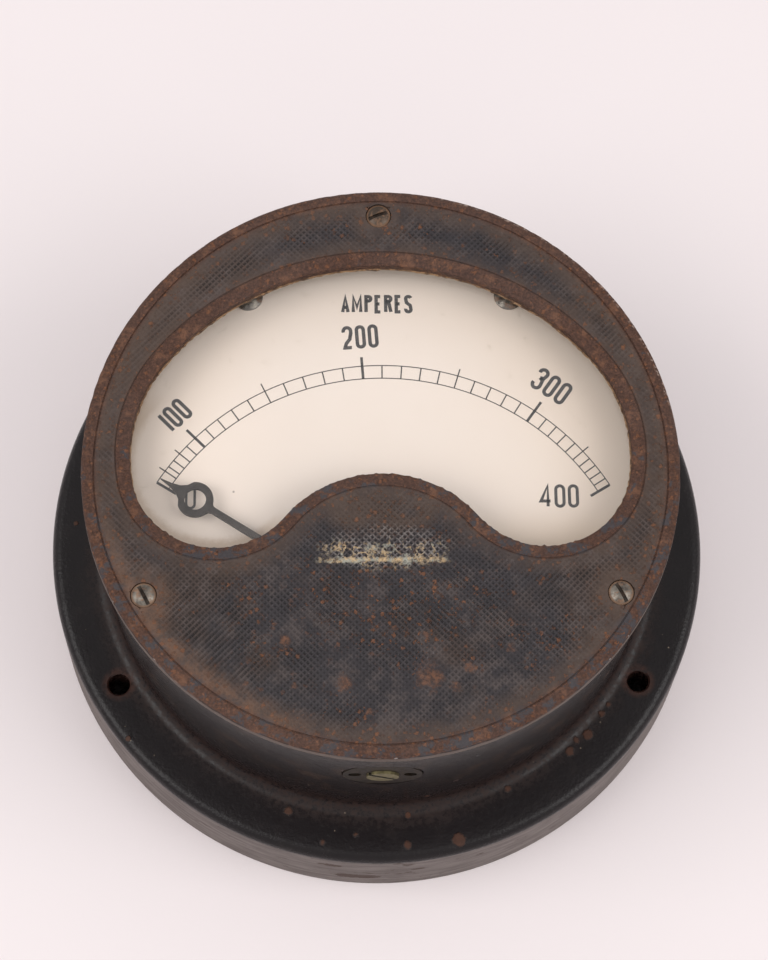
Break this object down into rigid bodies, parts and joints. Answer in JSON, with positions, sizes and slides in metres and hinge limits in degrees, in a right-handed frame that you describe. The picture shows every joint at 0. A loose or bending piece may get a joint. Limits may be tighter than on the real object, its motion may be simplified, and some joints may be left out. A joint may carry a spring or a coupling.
{
  "type": "analog dial electric meter",
  "caption": "Round flange-mounted switchboard ammeter with a kidney-shaped window, a cream dial, a pivoted ring pointer and a zero adjuster.",
  "frame": {"origin": "centre of the back rim's plane, on the case's axis", "axes": "+Z along the case's axis, out of the dial; +Y towards twelve o'clock on the dial; +X to the right of the dial"},
  "size_m": [0.2044, 0.2044, 0.1054],
  "materials": {
    "case_enamel": "black stoving enamel over cast iron, semi-gloss, dusty, a few rust spots",
    "cover_iron": "worn blue-black paint over a cross-hatched cast iron face, rusty",
    "gasket_felt": "compressed felt",
    "screw_steel": "tarnished steel",
    "glass": "clear flat glass",
    "spring_brass": "dull sheet brass",
    "dial_enamel": "aged cream enamel on sheet zinc, with dark grey print",
    "pillar_brass": "turned brass",
    "ebonite": "black ebonite, slightly browned",
    "terminal_brass": "tarnished turned brass",
    "copper": "tinned copper",
    "frame_brass": "lacquered sheet brass",
    "fibre": "red vulcanised fibre",
    "winding": "enamelled copper wire in layers",
    "soft_iron": "blackened soft iron sheet",
    "jewel": "sapphire",
    "damper_alloy": "thin aluminium",
    "spindle_steel": "polished steel",
    "pointer_black": "matt black paint on aluminium",
    "spring_bronze": "phosphor bronze strip",
    "adjuster_brass": "darkened brass"
  },
  "bodies": {
    "case": {"case_shell": "case_enamel", "front_cover": "cover_iron", "cover_gasket": "gasket_felt", "cover_screws": "screw_steel", "window_glass": "glass", "glass_gasket": "gasket_felt", "glass_clips": "spring_brass", "glass_clip_screws": "screw_steel", "dial_plate": "dial_enamel", "dial_screws": "screw_steel", "dial_pillars": "pillar_brass", "dial_pillar_screws": "screw_steel", "back_plate": "ebonite", "back_plate_screws": "screw_steel", "terminal_studs": "terminal_brass", "terminal_washers": "terminal_brass", "terminal_nuts": "terminal_brass", "terminal_inner_nuts": "terminal_brass", "terminal_tags": "copper", "coil_leads": "copper", "movement_base": "frame_brass", "movement_base_screws": "screw_steel", "frame_pillars": "pillar_brass", "pillar_spacers": "pillar_brass", "pillar_nuts": "terminal_brass", "coil_bobbin": "fibre", "coil_winding": "winding", "fixed_iron": "soft_iron", "lower_bearing_screw": "terminal_brass", "upper_bearing_screw": "terminal_brass", "bearing_jewels": "jewel", "bearing_lock_nuts": "terminal_brass", "spring_bridge": "frame_brass", "top_bridge": "frame_brass", "damper_box": "damper_alloy", "damper_lid": "damper_alloy", "damper_lid_screws": "screw_steel", "stop_posts": "pillar_brass", "adjuster_plate": "adjuster_brass", "adjuster_nut": "terminal_brass"},
    "pointer_system": {"spindle": "spindle_steel", "iron_carrier": "damper_alloy", "moving_iron": "soft_iron", "spring_collet": "pillar_brass", "damper_vane": "damper_alloy", "pointer_hub": "pillar_brass", "pointer": "pointer_black", "balance_arm": "spindle_steel", "balance_weight": "pillar_brass", "hairspring": "spring_bronze"},
    "zero_lever_arm": {"zero_lever": "frame_brass", "spring_stud": "pillar_brass"},
    "zero_adjuster": {"zero_screw": "adjuster_brass", "zero_screw_collar": "pillar_brass"}
  },
  "joints": [
    {"name": "pointer_pivot", "type": "hinge", "parent": "case", "child": "pointer_system", "pos_m": [0, -0.042, 0.066], "axis": [0, 0, -1], "range_deg": [-2, 119], "stiffness_Nm_per_rad": 0.00005, "deforming": ["hairspring"]},
    {"name": "zero_screw_turn", "type": "hinge", "parent": "case", "child": "zero_adjuster", "pos_m": [0, -0.08, 0.073], "axis": [0, 1, 0], "range_deg": [-40, 40]},
    {"name": "zero_lever_turn", "type": "hinge", "parent": "case", "child": "zero_lever_arm", "pos_m": [0, -0.042, 0.07], "axis": [0, 0, 1], "range_deg": [-3, 3]}
  ],
  "couplings": [
    {"joint": "zero_lever_turn", "follows": "zero_screw_turn", "ratio": 0.05975}
  ]
}
